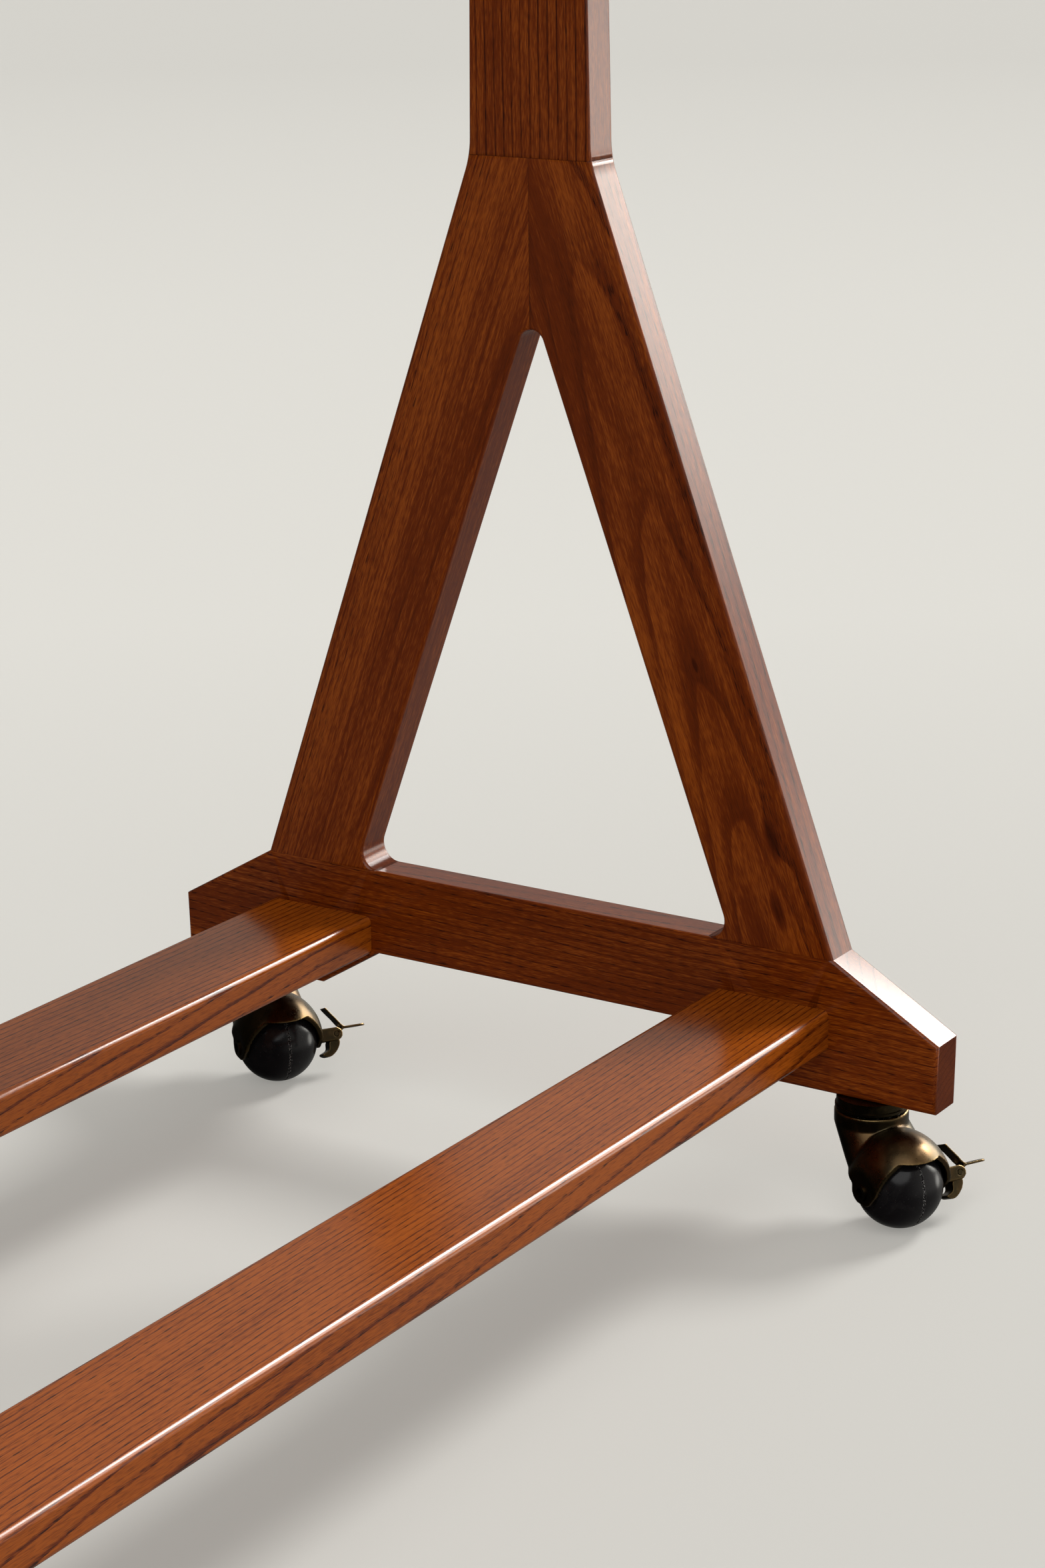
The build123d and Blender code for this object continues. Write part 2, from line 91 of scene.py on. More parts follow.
# A wire is an output socket of a shader node, and arithmetic on it adds Math nodes
class Wire:
    def __init__(self, shader, socket):
        self.shader = shader
        self.socket = socket

    def math(self, operation, *others):
        return self.shader.math(operation, self, *others)

    def __add__(self, other):
        return self.math("ADD", other)

    def __radd__(self, other):
        return self.math("ADD", other)

    def __sub__(self, other):
        return self.math("SUBTRACT", other)

    def __rsub__(self, other):
        return self.shader.math("SUBTRACT", other, self)

    def __mul__(self, other):
        return self.math("MULTIPLY", other)

    def __truediv__(self, other):
        return self.math("DIVIDE", other)

    def __pow__(self, other):
        return self.math("POWER", other)

    def clamped(self):
        return self.math("MINIMUM", 1.0).math("MAXIMUM", 0.0)

    def step(self, low, high):
        settings = {"interpolation_type": "SMOOTHSTEP"}
        values = {"Value": self, "From Min": low, "From Max": high}
        return self.shader.node("ShaderNodeMapRange", settings, values)


# The node tree of one material, or of the world
class Shader:
    def __init__(self, owner):
        self.owner = owner
        owner.use_nodes = True
        self.nodes = owner.node_tree.nodes
        self.links = owner.node_tree.links
        self.nodes.clear()
        self.place = self.node("ShaderNodeTexCoord", output="Object")

    def node(self, kind, settings=None, values=None, output=0):
        made = self.nodes.new(kind)
        for key, value in (settings or {}).items():
            if key == "stops":
                self.rampStops(made.color_ramp, value)
            else:
                setattr(made, key, value)
        for key, value in (values or {}).items():
            if isinstance(value, Wire):
                self.links.new(value.socket, made.inputs[key])
            else:
                made.inputs[key].default_value = value
        return Wire(self, made.outputs[output])

    def rampStops(self, ramp, stops):
        while len(ramp.elements) < len(stops):
            ramp.elements.new(0.5)
        for element, (position, colour) in zip(ramp.elements, stops):
            element.position = position
            element.color = (*colour, 1.0)

    def math(self, operation, *parts):
        return self.node("ShaderNodeMath", {"operation": operation}, dict(enumerate(parts)))

    def vector(self, operation, *parts, output=0):
        return self.node("ShaderNodeVectorMath", {"operation": operation}, dict(enumerate(parts)), output)

    def dot(self, wire, direction):
        return self.vector("DOT_PRODUCT", wire, tuple(direction), output="Value")

    def joined(self, x, y, z):
        return self.node("ShaderNodeCombineXYZ", None, {"X": x, "Y": y, "Z": z})

    def noise(self, where, scale, detail, roughness=0.5):
        values = {"Vector": where, "Scale": scale, "Detail": detail, "Roughness": roughness}
        return self.node("ShaderNodeTexNoise", None, values)

    def mixed(self, factor, first, second):
        parts = {0: factor, 6: first, 7: second}
        parts = {k: (*v, 1.0) if isinstance(v, tuple) else v for k, v in parts.items()}
        return self.node("ShaderNodeMix", {"data_type": "RGBA"}, parts, output=2)

    def surface(self, values, bump, depth, strength):
        heights = {"Height": bump, "Distance": depth, "Strength": strength}
        values["Normal"] = self.node("ShaderNodeBump", None, heights)
        return self.node("ShaderNodeBsdfPrincipled", None, values)

    def showing(self, surface):
        output = self.nodes.new("ShaderNodeOutputMaterial")
        self.links.new(surface.socket, output.inputs["Surface"])
        return self.owner

    def finish(self, values, bump, depth, strength):
        return self.showing(self.surface(values, bump, depth, strength))


# Studio: a pale floor with a painted pool of light and a painted glow that the camera sees, soft sky light,
# a key from beside the right-hand end, a broad fill from behind the left-hand end, and two windows that only
# gloss shows
studio = {
    "floorColour": (0.815, 0.797, 0.743),
    "floorSize": 60.0,
    "floorRoughness": 0.9,
    "floorIor": 1.2,
    "floorGrain": (900.0, 2.0, 0.7),    # noise: cells to the metre, detail and roughness
    "floorDepth": 0.05 * mm,
    "floorBump": 0.2,
    "paintedPoolFrom": (-1.12, -1.07),         # the painted pool of light is paced out from here
    "paintedPoolAlong": (0.837, 0.547),
    "paintedPoolLength": 12.0,
    "paintedPoolStops": ((0.10, 0.86), (0.17, 0.91), (0.27, 1.0), (0.42, 0.98), (0.75, 0.87)),
    "plainShare": 0.40,                 # share of the floor that the camera sees without shadow
    "plainLevel": 0.93,
    "brightSide": -35.0,                # degrees turned from +X
    "sideStep": (-0.35, 0.95),          # from the dim side to the bright side, by cosine
    "skyLight": (0.17, 0.42),           # on the dim side and on the bright side
    "skyTint": (1.0, 0.985, 0.955),
    "backdrop": (0.678, 0.662, 0.612),
    "mirrored": (0.04, 1.0),            # share of the backdrop that gloss shows, from side to side
    "belowStep": (-0.36, -0.08),        # gloss that looks down shows less of it, by sine
    "belowShare": 0.3,
    "windows": (                        # middle, degrees to the outer and inner edge, strength
        ((-19.0, 26.0), (24.0, 14.0), 15.0),
        ((-34.0, -5.0), (11.0, 4.0), 6.0),
    ),
    "suns": (                           # name, degrees from +X and above the floor, width, strength
        ("softKey", (-16.0, 40.0), 17.0, 2.10),
        ("broadFill", (207.0, 50.0), 55.0, 1.00),
    ),
}


def bearing(turn, rise):
    turn, rise = math.radians(turn), math.radians(rise)
    return Vector((math.cos(rise) * math.cos(turn), math.cos(rise) * math.sin(turn), math.sin(rise)))


def addFloor(c):
    s = Shader(bpy.data.materials.new("studioFloor"))
    startX, startY = c["paintedPoolFrom"]
    alongX, alongY = c["paintedPoolAlong"]
    fromStart = s.vector("SUBTRACT", s.place, (startX, startY, 0.0))
    pace = s.dot(fromStart, (alongX, alongY, 0.0)) / c["paintedPoolLength"]
    # Painted light: the floor's colour is lighter in a pool of light and darker near the camera and far away
    stops = [(where, tuple(v * share for v in c["floorColour"])) for where, share in c["paintedPoolStops"]]
    tint = s.node("ShaderNodeValToRGB", {"stops": stops}, {"Fac": pace.clamped()})
    grain = s.noise(s.place, *c["floorGrain"])
    values = {"Base Color": tint, "Roughness": c["floorRoughness"], "IOR": c["floorIor"]}
    paper = s.surface(values, grain, c["floorDepth"], c["floorBump"])
    # Painted light: the camera sees part of the floor as an even glow, so the shadows on it show fainter
    plain = s.node("ShaderNodeEmission", None, {"Color": tint, "Strength": c["plainLevel"]})
    seen = s.node("ShaderNodeLightPath", output="Is Camera Ray") * c["plainShare"]
    material = s.showing(s.node("ShaderNodeMixShader", None, {0: seen, 1: paper, 2: plain}))
    bm = bmesh.new()
    bmesh.ops.create_grid(bm, x_segments=8, y_segments=8, size=c["floorSize"] / 2)
    mesh = bpy.data.meshes.new("studioFloor")
    bm.to_mesh(mesh)
    bm.free()
    mesh.materials.append(material)
    obj = bpy.data.objects.new("studioFloor", mesh)
    obj.visible_glossy = False
    bpy.context.scene.collection.objects.link(obj)


def addSun(name, direction, width, strength):
    data = bpy.data.lights.new(name, "SUN")
    data.energy = strength
    data.angle = math.radians(width)
    obj = bpy.data.objects.new(name, data)
    obj.rotation_euler = bearing(*direction).to_track_quat("Z", "Y").to_euler()
    bpy.context.scene.collection.objects.link(obj)


def addSky(c):
    s = Shader(bpy.data.worlds.new("studioSky"))
    looking = s.node("ShaderNodeTexCoord", output="Generated")
    side = s.dot(looking, bearing(c["brightSide"], 0.0)).step(*c["sideStep"])
    dim, bright = c["skyLight"]
    least, most = c["mirrored"]
    light = {"Color": (*c["skyTint"], 1.0), "Strength": side * (bright - dim) + dim}
    below = s.dot(looking, (0, 0, 1)).step(*c["belowStep"]) * (1.0 - c["belowShare"]) + c["belowShare"]
    mirrored = (side * (most - least) + least) * below
    for middle, (outside, inside), strength in c["windows"]:
        near = s.dot(looking, bearing(*middle))
        lit = near.step(math.cos(math.radians(outside)), math.cos(math.radians(inside)))
        mirrored = mirrored + lit * strength
    gloss = {"Color": (*c["backdrop"], 1.0), "Strength": mirrored}
    shown = {"Color": (*c["backdrop"], 1.0)}
    path = ("Is Glossy Ray", "Is Transmission Ray", "Is Camera Ray")
    glossy, through, seen = (s.node("ShaderNodeLightPath", output=name) for name in path)
    lights, reflected, behind = (s.node("ShaderNodeBackground", None, v) for v in (light, gloss, shown))
    mixed = s.node("ShaderNodeMixShader", None, {0: glossy.math("MAXIMUM", through), 1: lights, 2: reflected})
    mixed = s.node("ShaderNodeMixShader", None, {0: seen, 1: mixed, 2: behind})
    output = s.nodes.new("ShaderNodeOutputWorld")
    s.links.new(mixed.socket, output.inputs["Surface"])
    bpy.context.scene.world = s.owner


addFloor(studio)
addSky(studio)
for sun in studio["suns"]:
    addSun(*sun)
bpy.context.scene.view_settings.view_transform = "Standard"
print("studio ready")


# Walnut-stained ash under a satin varnish. Each board is cut from its own place in the log:
# pith is how far the heart of the log lies from the board's middle, across it and through it,
# and lean is how much it runs out along the board. A board's lineShare is the part of a ring
# that its early wood fills, and lines is how dark that wood is.
ash = {
    "pale": (0.400, 0.090, 0.0050),
    "middle": (0.158, 0.0240, 0.0004),
    "middleAt": 0.40,
    "dark": (0.062, 0.009, 0.0005),
    "pore": (0.016, 0.003, 0.0006),
    "poreDark": 0.85,
    "poreLength": 8.0 * mm,
    "poreWidth": 0.50 * mm,
    "poreStep": (0.62, 0.70),
    "earlyPores": 0.09,                 # how much the early wood adds to the pores
    "latePores": 0.35,                  # strength of the pores between the lines of early wood
    "seedStep": 1.7,
    "wander": (3.0, 9.0, 1.0, 0.5),     # noise: cells to the metre along and across, detail, roughness
    "waver": (16.0, 60.0, 1.0, 0.5),
    "waverShare": 0.35,                 # share of a ring's width
    "fibre": (22.0, 800.0, 2.0, 0.6),
    "fibreTone": 0.50,
    "fleck": (170.0, 2100.0, 1.0, 0.5),
    "fleckTone": 0.65,
    "heart": (3.5, 38.0, 2.0, 0.5),
    "lineRise": (0.0, 0.06),            # shares of a ring
    "lineFall": 0.05,
    "yearScale": 3.1,
    "yearTone": (0.5, 0.25),
    "fadingAlong": 13.0,
    "fadingApart": 7.3,
    "fadingStep": (0.30, 0.66),
    "fadingTone": (0.85, 0.38),
    "knotLength": 3.0,                  # knots are this much longer than wide
    "knotPull": (0.0, 2.6),             # rings bend aside within these sizes of the knot
    "knotCore": (0.35, 1.3),
    "knotTone": 0.55,
    "endStep": (0.80, 0.97),            # end grain, by how squarely a face meets the grain
    "endDark": 0.75,
    "endRough": 0.40,
    "seamWidth": 0.30 * mm,
    "seamCore": 0.4,
    "seamDark": 0.45,
    "seamDeep": 0.5,
    "earlyDeep": 0.15,
    "depth": 0.10 * mm,
    "bump": 0.5,
    "roughness": 0.38,
    "poreRough": 0.25,
    "fibreRough": 0.10,
    "ior": 1.33,
    "specular": 0.12,
    "coat": 0.95,
    "endCoat": 0.75,                    # how much of the coat the end grain takes in
    "coatRoughness": 0.20,
    "coatIor": 1.42,
}


def stainedAsh(name, board):
    s = Shader(bpy.data.materials.new(name))
    along = Vector(board["along"]).normalized()
    across = Vector(board["across"]).normalized()
    through = along.cross(across)
    local = s.vector("SUBTRACT", s.place, tuple(board["middle"]))
    u = s.dot(local, along)
    v = s.dot(local, across)
    w = s.dot(local, through)
    seed = board["seed"]
    wide = board["ringWidth"]

    def streaked(kind, shift):
        lengthways, crossways, detail, roughness = ash[kind]
        where = s.joined(u * lengthways + shift, v * crossways, w * crossways)
        return s.noise(where, 1.0, detail, roughness)

    def fromKnot(knotU, knotV, size):
        lengthways = (u - knotU) / (size * ash["knotLength"])
        return s.math("SQRT", lengthways ** 2.0 + ((v - knotV) / size) ** 2.0)

    # Growth rings round the pith, bent aside by the knots
    pithV, pithW = board["pith"]
    leanV, leanW = board["lean"]
    wander = streaked("wander", seed) - 0.5
    waver = streaked("waver", seed) - 0.5
    toPithV = v - pithV - u * leanV
    toPithW = w - pithW - u * leanW
    fromPith = s.math("SQRT", toPithV * toPithV + toPithW * toPithW)
    fromPith = fromPith + wander * board["wander"] + waver * (wide * ash["waverShare"])
    knots = [(fromKnot(*place), turnAside) for *place, turnAside in board.get("knots", ())]
    for near, turnAside in knots:
        fromPith = fromPith + (1.0 - near.step(*ash["knotPull"])) * turnAside
    ring = fromPith / wide
    year = s.math("FLOOR", ring)
    phase = s.math("FRACT", ring)
    early = (1.0 - phase.step(ash["lineFall"], board["lineShare"])) * phase.step(*ash["lineRise"])

    # Open pores: short dark dashes, thick in the early wood and sparse between
    length, width = ash["poreLength"], ash["poreWidth"]
    dashes = s.noise(s.joined(u / length, v / width, w / width), 1.0, 0.0)
    openPores = (dashes + early * ash["earlyPores"]).step(*ash["poreStep"])
    edgeFrom, edgeTo, least = board.get("poreEdge", (-1.0, -0.9, 1.0))
    porous = v.step(edgeFrom, edgeTo) * (1.0 - least) + least
    pores = openPores * (early * (1.0 - ash["latePores"]) + ash["latePores"]) * porous

    # Tone: fibres, flecks, broad streaks, and lines of early wood that differ by year and fade along
    fibre = streaked("fibre", seed)
    fleck = streaked("fleck", 0.0)
    heart = streaked("heart", seed * 2.0)
    yearly = s.noise(s.joined(year, seed, 0.5), ash["yearScale"], 0.0)
    fading = s.noise(s.joined(u * ash["fadingAlong"], year * ash["fadingApart"], seed), 1.0, 1.0)
    yearGain, yearLeast = ash["yearTone"]
    fadingGain, fadingLeast = ash["fadingTone"]
    shown = (yearly * yearGain + yearLeast) * (fading.step(*ash["fadingStep"]) * fadingGain + fadingLeast)
    tone = board["shade"] + (fibre - 0.5) * ash["fibreTone"] + (heart - 0.5) * board["heart"]
    tone = tone + (fleck - 0.5) * ash["fleckTone"] + early * shown * board["lines"]
    for near, turnAside in knots:
        tone = tone + (1.0 - near.step(*ash["knotCore"])) * ash["knotTone"]
    stops = [(0.0, ash["pale"]), (ash["middleAt"], ash["middle"]), (1.0, ash["dark"])]
    colour = s.node("ShaderNodeValToRGB", {"stops": stops}, {"Fac": tone.clamped()})
    colour = s.mixed(pores * ash["poreDark"], colour, ash["pore"])
    height = 1.0 - pores - early * ash["earlyDeep"]
    rough = pores * ash["poreRough"] + (fibre - 0.5) * ash["fibreRough"] + ash["roughness"]

    # Ends drink the stain, and the joints between boards show as fine dark seams
    facing = s.dot(s.node("ShaderNodeTexCoord", output="Normal"), along)
    endGrain = s.math("ABSOLUTE", facing).step(*ash["endStep"])
    colour = s.mixed(endGrain * ash["endDark"], colour, ash["dark"])
    rough = rough + endGrain * ash["endRough"]
    for normal, offset in board.get("seams", ()):
        gap = s.math("ABSOLUTE", s.dot(s.place, normal) - offset)
        seam = 1.0 - gap.step(ash["seamWidth"] * ash["seamCore"], ash["seamWidth"])
        colour = s.mixed(seam * ash["seamDark"], colour, ash["pore"])
        height = height - seam * ash["seamDeep"]
    values = {
        "Base Color": colour,
        "Roughness": rough.clamped(),
        "IOR": ash["ior"],
        "Specular IOR Level": ash["specular"],
        "Coat Weight": (ash["coat"] - endGrain * ash["endCoat"]).clamped(),
        "Coat Roughness": ash["coatRoughness"],
        "Coat IOR": ash["coatIor"],
    }
    return s.finish(values, height, ash["depth"], ash["bump"])


# How the copies that stand in for solids are joined and shaded
copies = {
    "weld": 0.002 * mm,
    "sharpFrom": 35,        # degrees between faces
    "weight": 80,
}


def mergedCopy(node, name):
    bm = bmesh.new()
    bm.from_mesh(frame["nodes"][node].data)
    bmesh.ops.remove_doubles(bm, verts=bm.verts, dist=copies["weld"])
    for face in bm.faces:
        face.smooth = True
    mesh = bpy.data.meshes.new(name)
    bm.to_mesh(mesh)
    bm.free()
    obj = bpy.data.objects.new(name, mesh)
    bpy.context.scene.collection.objects.link(obj)
    return obj


def standFor(obj, node, body, material):
    obj.data.materials.clear()
    obj.data.materials.append(material)
    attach(obj, body)
    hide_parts(node)


def dressBoard(node, board):
    obj = mergedCopy(node, node + "_board")
    standFor(obj, node, "rack", stainedAsh(node + "Ash", board))
    obj.data.set_sharp_from_angle(angle=math.radians(copies["sharpFrom"]))
    weighted = obj.modifiers.new("weightedNormals", "WEIGHTED_NORMAL")
    weighted.keep_sharp = True
    weighted.weight = copies["weight"]


# The end frame's four boards, as cut for the right-hand end. The left-hand end is the same frame
# turned round. With poreEdge, the pores thin out to a share between two distances across the board.
# A knot is its place along and across the board, its size and how far the rings turn aside.
legLean = math.radians(19.84)
endBoards = {
    "post": {
        "along": (0, 0, 1), "across": (0, 1, 0),
        "ringWidth": 5.9 * mm, "lineShare": 0.26, "lines": 1.1, "shade": 0.33,
        "pith": (0.40, 0.02), "lean": (0.0, 0.0), "wander": 5 * mm, "heart": 0.35,
    },
    "front_leg": {
        "along": (0, math.sin(legLean), math.cos(legLean)),
        "across": (0, -math.cos(legLean), math.sin(legLean)),
        "ringWidth": 5.2 * mm, "lineShare": 0.60, "lines": 0.40, "shade": 0.34,
        "pith": (-0.012, 0.036), "lean": (0.02, 0.055), "wander": 12 * mm, "heart": 0.9,
        "poreEdge": (-0.002, 0.010, 0.30),
        "knots": (
            (-0.165, 0.004, 4.5 * mm, 3 * mm),
            (-0.205, -0.006, 4.0 * mm, 2 * mm),
            (-0.058, -0.011, 1.6 * mm, 1 * mm),
        ),
    },
    "back_leg": {
        "along": (0, -math.sin(legLean), math.cos(legLean)),
        "across": (0, math.cos(legLean), math.sin(legLean)),
        "ringWidth": 3.6 * mm, "lineShare": 0.35, "lines": 0.30, "shade": 0.33,
        "pith": (-0.045, 0.050), "lean": (0.01, 0.02), "wander": 9 * mm, "heart": 0.6,
        "poreEdge": (-0.002, 0.010, 0.22),
    },
    "foot_beam": {
        "along": (0, 1, 0), "across": (0, 0, 1),
        "ringWidth": 4.6 * mm, "lineShare": 0.32, "lines": 0.50, "shade": 0.34,
        "pith": (-0.14, 0.07), "lean": (0.05, 0.02), "wander": 12 * mm, "heart": 0.6,
    },
}


def dressEndFrame(end, seed):
    turned = Matrix.Rotation(math.pi, 4, "Z") if end == "left" else Matrix.Identity(4)
    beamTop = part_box(end + "_foot_beam")[1].z
    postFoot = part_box(end + "_post")[0].z
    legSeams = (((0, 0, 1), postFoot), ((0, 0, 1), beamTop), ((0, 1, 0), 0.0))
    seams = {"post": legSeams[:1], "front_leg": legSeams, "back_leg": legSeams, "foot_beam": ()}
    for number, (part, cut) in enumerate(endBoards.items()):
        node = f"{end}_{part}"
        low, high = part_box(node)
        board = dict(cut)
        board["along"] = turned @ Vector(cut["along"])
        board["across"] = turned @ Vector(cut["across"])
        board["middle"] = (low + high) / 2
        board["seed"] = seed + number * ash["seedStep"]
        board["seams"] = seams[part]
        dressBoard(node, board)


for end, seed in (("right", 0.0), ("left", 23.0)):
    dressEndFrame(end, seed)
print("end frames dressed")


rails = {
    "front_rail": {
        "along": (1, 0, 0), "across": (0, 1, 0),
        "ringWidth": 3.8 * mm, "lineShare": 0.36, "lines": 0.80, "shade": 0.08,
        "pith": (-0.16, -0.05), "lean": (0.03, 0.01), "wander": 9 * mm, "heart": 0.5, "seed": 5.0,
    },
    "back_rail": {
        "along": (1, 0, 0), "across": (0, 1, 0),
        "ringWidth": 4.0 * mm, "lineShare": 0.36, "lines": 0.80, "shade": 0.06,
        "pith": (0.13, -0.07), "lean": (-0.03, 0.01), "wander": 9 * mm, "heart": 0.5, "seed": 11.0,
    },
    "hanging_bar": {
        "along": (1, 0, 0), "across": (0, 1, 0),
        "ringWidth": 4.0 * mm, "lineShare": 0.40, "lines": 0.7, "shade": 0.25,
        "pith": (0.03, -0.05), "lean": (0.01, 0.0), "wander": 6 * mm, "heart": 0.5, "seed": 17.0,
    },
}


def dressRails():
    for node, board in rails.items():
        low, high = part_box(node)
        board["middle"] = (low + high) / 2
        dressBoard(node, board)


dressRails()
print("rails and bar dressed")


# Antique bronze of the caster: brown patina, rubbed to brass along the rims
bronze = {
    "patina": (0.056, 0.043, 0.023),
    "brown": (0.108, 0.064, 0.029),
    "worn": (0.36, 0.23, 0.09),
    "seedStep": 1.3,
    "mottle": (170.0, 3.0, 0.6),    # noise: cells to the metre, detail and roughness
    "patch": (60.0, 2.0, 0.5),
    "speck": (1100.0, 2.0, 0.6),
    "patchStep": (0.38, 0.66),
    "mottleStep": (0.54, 0.78),
    "mottleWorn": 0.15,
    "edgeWorn": (0.9, 0.55),        # how much of the rubbing follows the mottle, and how much is even
    "roughness": 0.31,
    "mottleRough": 0.30,
    "speckRough": 0.16,
    "mottleHeight": 0.7,
    "speckHeight": 0.3,
    "depth": 0.14 * mm,
    "bump": 0.35,
    "hoodVoxel": 0.55 * mm,
    "leverVoxel": 0.32 * mm,
    "softening": 10,
    "bendFrom": 0.05,               # an edge is rubbed from this bend on, and bare after bendSpan more
    "bendSpan": 0.12,
    "wearBlurs": 3,
    "leafFrom": 4.0 * mm,           # the brake's upright leaf leans to the hood above this height
    "leafTo": 17.0 * mm,
    "leafLean": 5.5 * mm,
    "leafCurve": 1.2,
}


def agedBronze(name, seed):
    s = Shader(bpy.data.materials.new(name))
    mottle = s.noise(s.place, *bronze["mottle"])
    patch = s.noise(s.vector("ADD", s.place, (seed, 0.3, 0.7)), *bronze["patch"])
    speck = s.noise(s.place, *bronze["speck"])
    wear = s.node("ShaderNodeAttribute", {"attribute_name": "edgeWear"}, output="Fac")
    byMottle, even = bronze["edgeWorn"]
    colour = s.mixed(patch.step(*bronze["patchStep"]), bronze["patina"], bronze["brown"])
    colour = s.mixed(mottle.step(*bronze["mottleStep"]) * bronze["mottleWorn"], colour, bronze["worn"])
    colour = s.mixed((wear * (mottle * byMottle + even)).clamped(), colour, bronze["worn"])
    rough = (mottle - 0.5) * bronze["mottleRough"] + (speck - 0.5) * bronze["speckRough"]
    rough = (rough + bronze["roughness"]).clamped()
    values = {"Base Color": colour, "Roughness": rough, "Metallic": 1.0}
    height = mottle * bronze["mottleHeight"] + speck * bronze["speckHeight"]
    return s.finish(values, height, bronze["depth"], bronze["bump"])


# Rubbed edges: the farther the neighbours of a vertex lie below it, the more it is worn
def addWear(mesh):
    bm = bmesh.new()
    bm.from_mesh(mesh)
    bm.normal_update()
    layer = bm.verts.layers.float.new("edgeWear")
    for vert in bm.verts:
        bend = 0.0
        for edge in vert.link_edges:
            step = vert.co - edge.other_vert(vert).co
            bend += step.dot(vert.normal) / max(step.length, 1e-9)
        bend /= max(len(vert.link_edges), 1)
        vert[layer] = min(max((bend - bronze["bendFrom"]) / bronze["bendSpan"], 0.0), 1.0)
    for blur in range(bronze["wearBlurs"]):
        blurred = [sum(e.other_vert(v)[layer] for e in v.link_edges) / len(v.link_edges) for v in bm.verts]
        for vert, wear in zip(bm.verts, blurred):
            vert[layer] = wear
    for face in bm.faces:
        face.smooth = True
    bm.to_mesh(mesh)
    bm.free()


def castFrom(node, name, voxel):
    obj = mergedCopy(node, name)
    remesh = obj.modifiers.new("casting", "REMESH")
    remesh.mode = "VOXEL"
    remesh.voxel_size = voxel
    smooth = obj.modifiers.new("softening", "SMOOTH")
    smooth.factor = 0.5
    smooth.iterations = bronze["softening"]
    graph = bpy.context.evaluated_depsgraph_get()
    mesh = bpy.data.meshes.new_from_object(obj.evaluated_get(graph))
    obj.modifiers.clear()
    obj.data = mesh
    addWear(mesh)
    return obj


def leanLeaf(obj, corner):
    press = joints[corner + "_brake_press"]
    pin = Vector(press["pos_m"])
    axis = Vector(press["axis"]).normalized()
    out = pin - Vector(joints[corner + "_roll"]["pos_m"])
    out = (out - axis * out.dot(axis)).normalized()
    rise = out.cross(axis)
    if rise.z < 0:
        rise = -rise
    for vert in obj.data.vertices:
        height = (vert.co - pin).dot(rise)
        share = (height - bronze["leafFrom"]) / (bronze["leafTo"] - bronze["leafFrom"])
        share = min(max(share, 0.0), 1.0)
        vert.co -= out * (bronze["leafLean"] * share ** bronze["leafCurve"])


def paint(node, material):
    mesh = frame["nodes"][node].data
    mesh.materials.clear()
    mesh.materials.append(material)


def dressCasters():
    for number, corner in enumerate(corners):
        metal = agedBronze(corner + "Bronze", number * bronze["seedStep"])
        hood = castFrom(corner + "_hood", corner + "_hood_casting", bronze["hoodVoxel"])
        standFor(hood, corner + "_hood", corner + "_fork", metal)
        lever = castFrom(corner + "_brake_lever", corner + "_brake_casting", bronze["leverVoxel"])
        leanLeaf(lever, corner)
        standFor(lever, corner + "_brake_lever", corner + "_brake", metal)
        for part in ("stem", "bearing_cap", "axle_pin", "brake_pin"):
            paint(f"{corner}_{part}", metal)


dressCasters()
print("caster castings dressed")


# Hard rubber ball in two halves: near black, scuffed, pale dust caught along the joint of the halves
ball = {
    "colour": (0.008, 0.007, 0.008),
    "scuff": (0.022, 0.020, 0.020),
    "dust": (0.30, 0.29, 0.28),
    "fine": (1500.0, 2.0, 0.6),         # noise: cells to the metre, detail and roughness
    "cloud": (85.0, 3.0, 0.65),
    "dustLine": (0.2 * mm, 1.4 * mm),   # from the joint of the halves
    "dustStep": (0.54, 0.64),
    "dustRough": 0.3,
    "scuffStep": (0.48, 0.80),
    "scuffShare": 0.6,
    "speckStep": (0.70, 0.76),
    "speckShare": 0.35,
    "roughness": 0.20,
    "cloudRough": 0.30,
    "ior": 1.36,
    "cloudHeight": 0.6,
    "fineHeight": 0.4,
    "depth": 0.05 * mm,
    "bump": 0.3,
}


def scuffedRubber(name, centre, axle):
    s = Shader(bpy.data.materials.new(name))
    fromSeam = s.math("ABSOLUTE", s.dot(s.vector("SUBTRACT", s.place, tuple(centre)), axle))
    fine = s.noise(s.place, *ball["fine"])
    cloud = s.noise(s.place, *ball["cloud"])
    seamDust = (1.0 - fromSeam.step(*ball["dustLine"])) * fine.step(*ball["dustStep"])
    scuffs = cloud.step(*ball["scuffStep"])
    specks = fine.step(*ball["speckStep"]) * ball["speckShare"]
    colour = s.mixed(scuffs * ball["scuffShare"], ball["colour"], ball["scuff"])
    colour = s.mixed((seamDust + specks).clamped(), colour, ball["dust"])
    rough = (cloud - 0.5) * ball["cloudRough"] + ball["roughness"] + seamDust * ball["dustRough"]
    values = {"Base Color": colour, "Roughness": rough.clamped(), "IOR": ball["ior"]}
    height = cloud * ball["cloudHeight"] + fine * ball["fineHeight"]
    return s.finish(values, height, ball["depth"], ball["bump"])


def dressBalls():
    for corner in corners:
        roll = joints[corner + "_roll"]
        rubber = scuffedRubber(corner + "Rubber", roll["pos_m"], Vector(roll["axis"]).normalized())
        paint(corner + "_outer_ball_half", rubber)
        paint(corner + "_inner_ball_half", rubber)


dressBalls()
print("balls dressed")


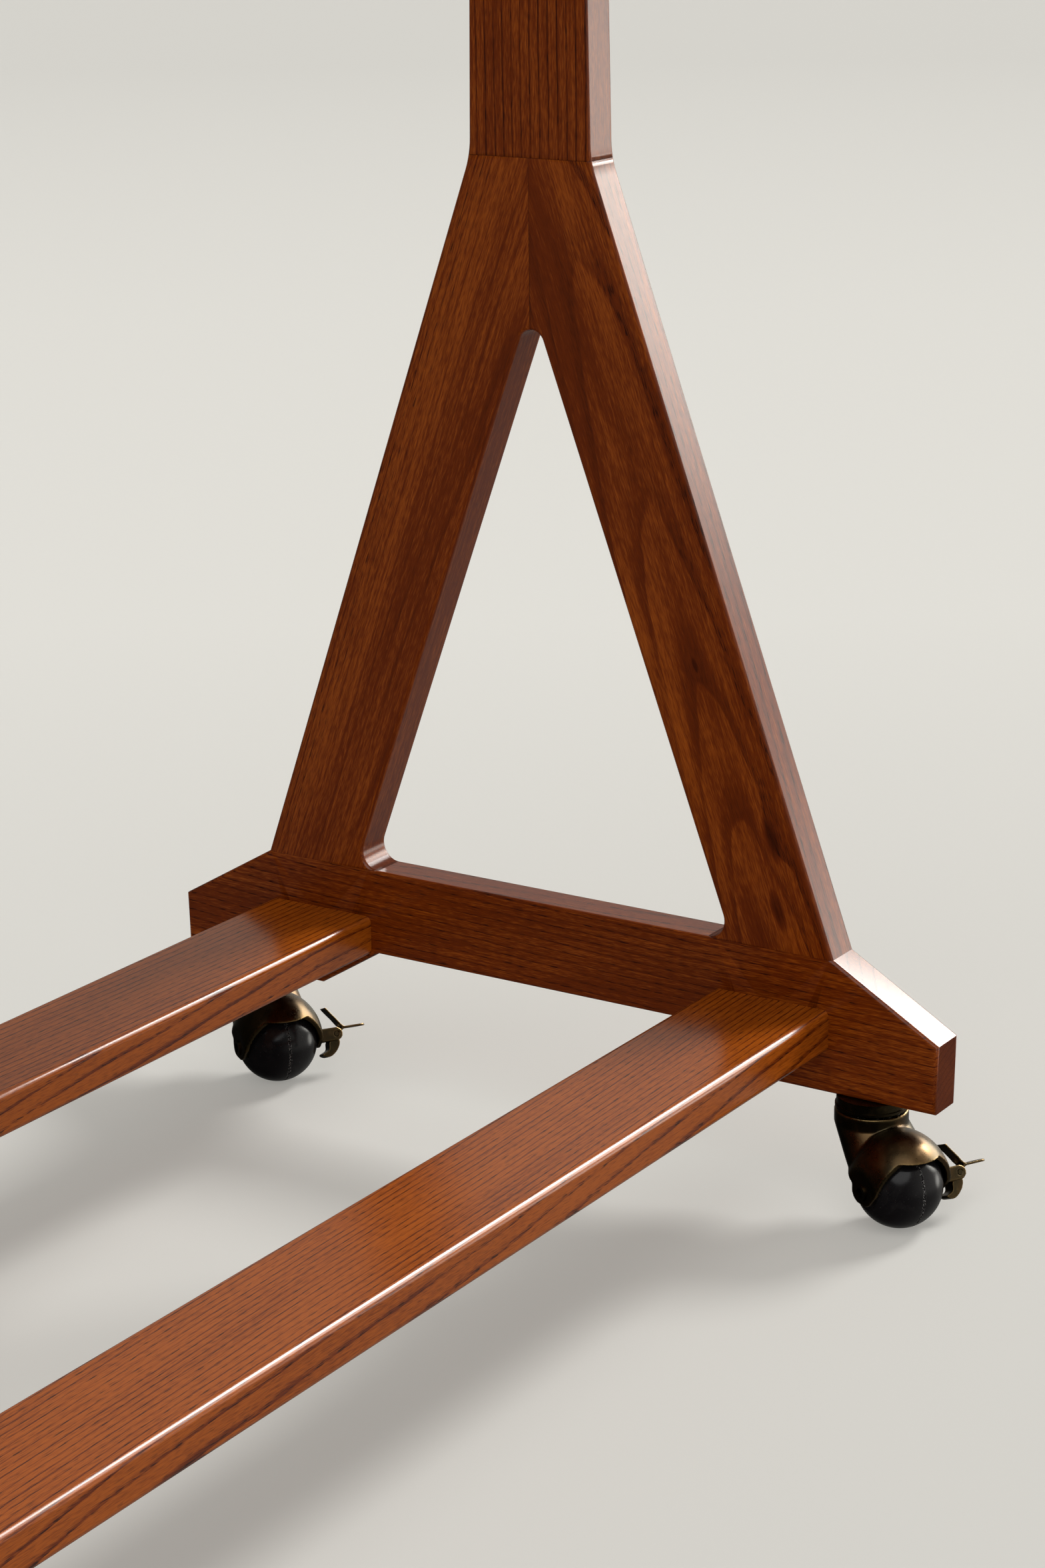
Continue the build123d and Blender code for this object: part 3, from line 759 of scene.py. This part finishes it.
# Fixings that the boards hide
fixings = {
    "beech": ((0.60, 0.41, 0.24), (0.43, 0.27, 0.14)),
    "beechRoughness": 0.7,
    "beechFleck": (600.0, 2.0, 0.6),        # noise: cells to the metre, detail and roughness
    "beechStretch": (1.0, 1.0, 0.15),
    "beechStep": (0.45, 0.70),
    "beechDepth": 0.05 * mm,
    "beechBump": 0.4,
    "zinc": ((0.62, 0.62, 0.60), 0.35),     # colour and roughness
    "brass": ((0.72, 0.52, 0.24), 0.30),
    "ballSteel": ((0.55, 0.55, 0.54), 0.20),
    "metalFine": (700.0, 2.0, 0.6),
    "metalStep": (0.4, 0.7),
    "metalShare": 0.3,
    "metalDark": 0.6,
    "metalRough": 0.2,
    "metalDepth": 0.03 * mm,
    "metalBump": 0.3,
}


def turnedMetal(name, colour, roughness):
    s = Shader(bpy.data.materials.new(name))
    fine = s.noise(s.place, *fixings["metalFine"])
    darker = tuple(c * fixings["metalDark"] for c in colour)
    tint = s.mixed(fine.step(*fixings["metalStep"]) * fixings["metalShare"], colour, darker)
    rough = ((fine - 0.5) * fixings["metalRough"] + roughness).clamped()
    values = {"Base Color": tint, "Roughness": rough, "Metallic": 1.0}
    return s.finish(values, fine, fixings["metalDepth"], fixings["metalBump"])


def flutedBeech(name):
    s = Shader(bpy.data.materials.new(name))
    fleck = s.noise(s.vector("MULTIPLY", s.place, fixings["beechStretch"]), *fixings["beechFleck"])
    tint = s.mixed(fleck.step(*fixings["beechStep"]), *fixings["beech"])
    values = {"Base Color": tint, "Roughness": fixings["beechRoughness"]}
    return s.finish(values, fleck, fixings["beechDepth"], fixings["beechBump"])


def dressFixings():
    beech = flutedBeech("dowelBeech")
    zinc = turnedMetal("zincSteel", *fixings["zinc"])
    brass = turnedMetal("brassInsert", *fixings["brass"])
    steel = turnedMetal("raceSteel", *fixings["ballSteel"])
    for node in ("right_frame_dowels", "left_frame_dowels", "rail_dowels"):
        paint(node, beech)
    for node in ("rail_bolts", "rail_barrel_nuts", "bar_bolts"):
        paint(node, zinc)
    paint("bar_inserts", brass)
    for corner in corners:
        paint(corner + "_stem_insert", brass)
        paint(corner + "_race_balls", steel)


dressFixings()
print("fixings dressed")
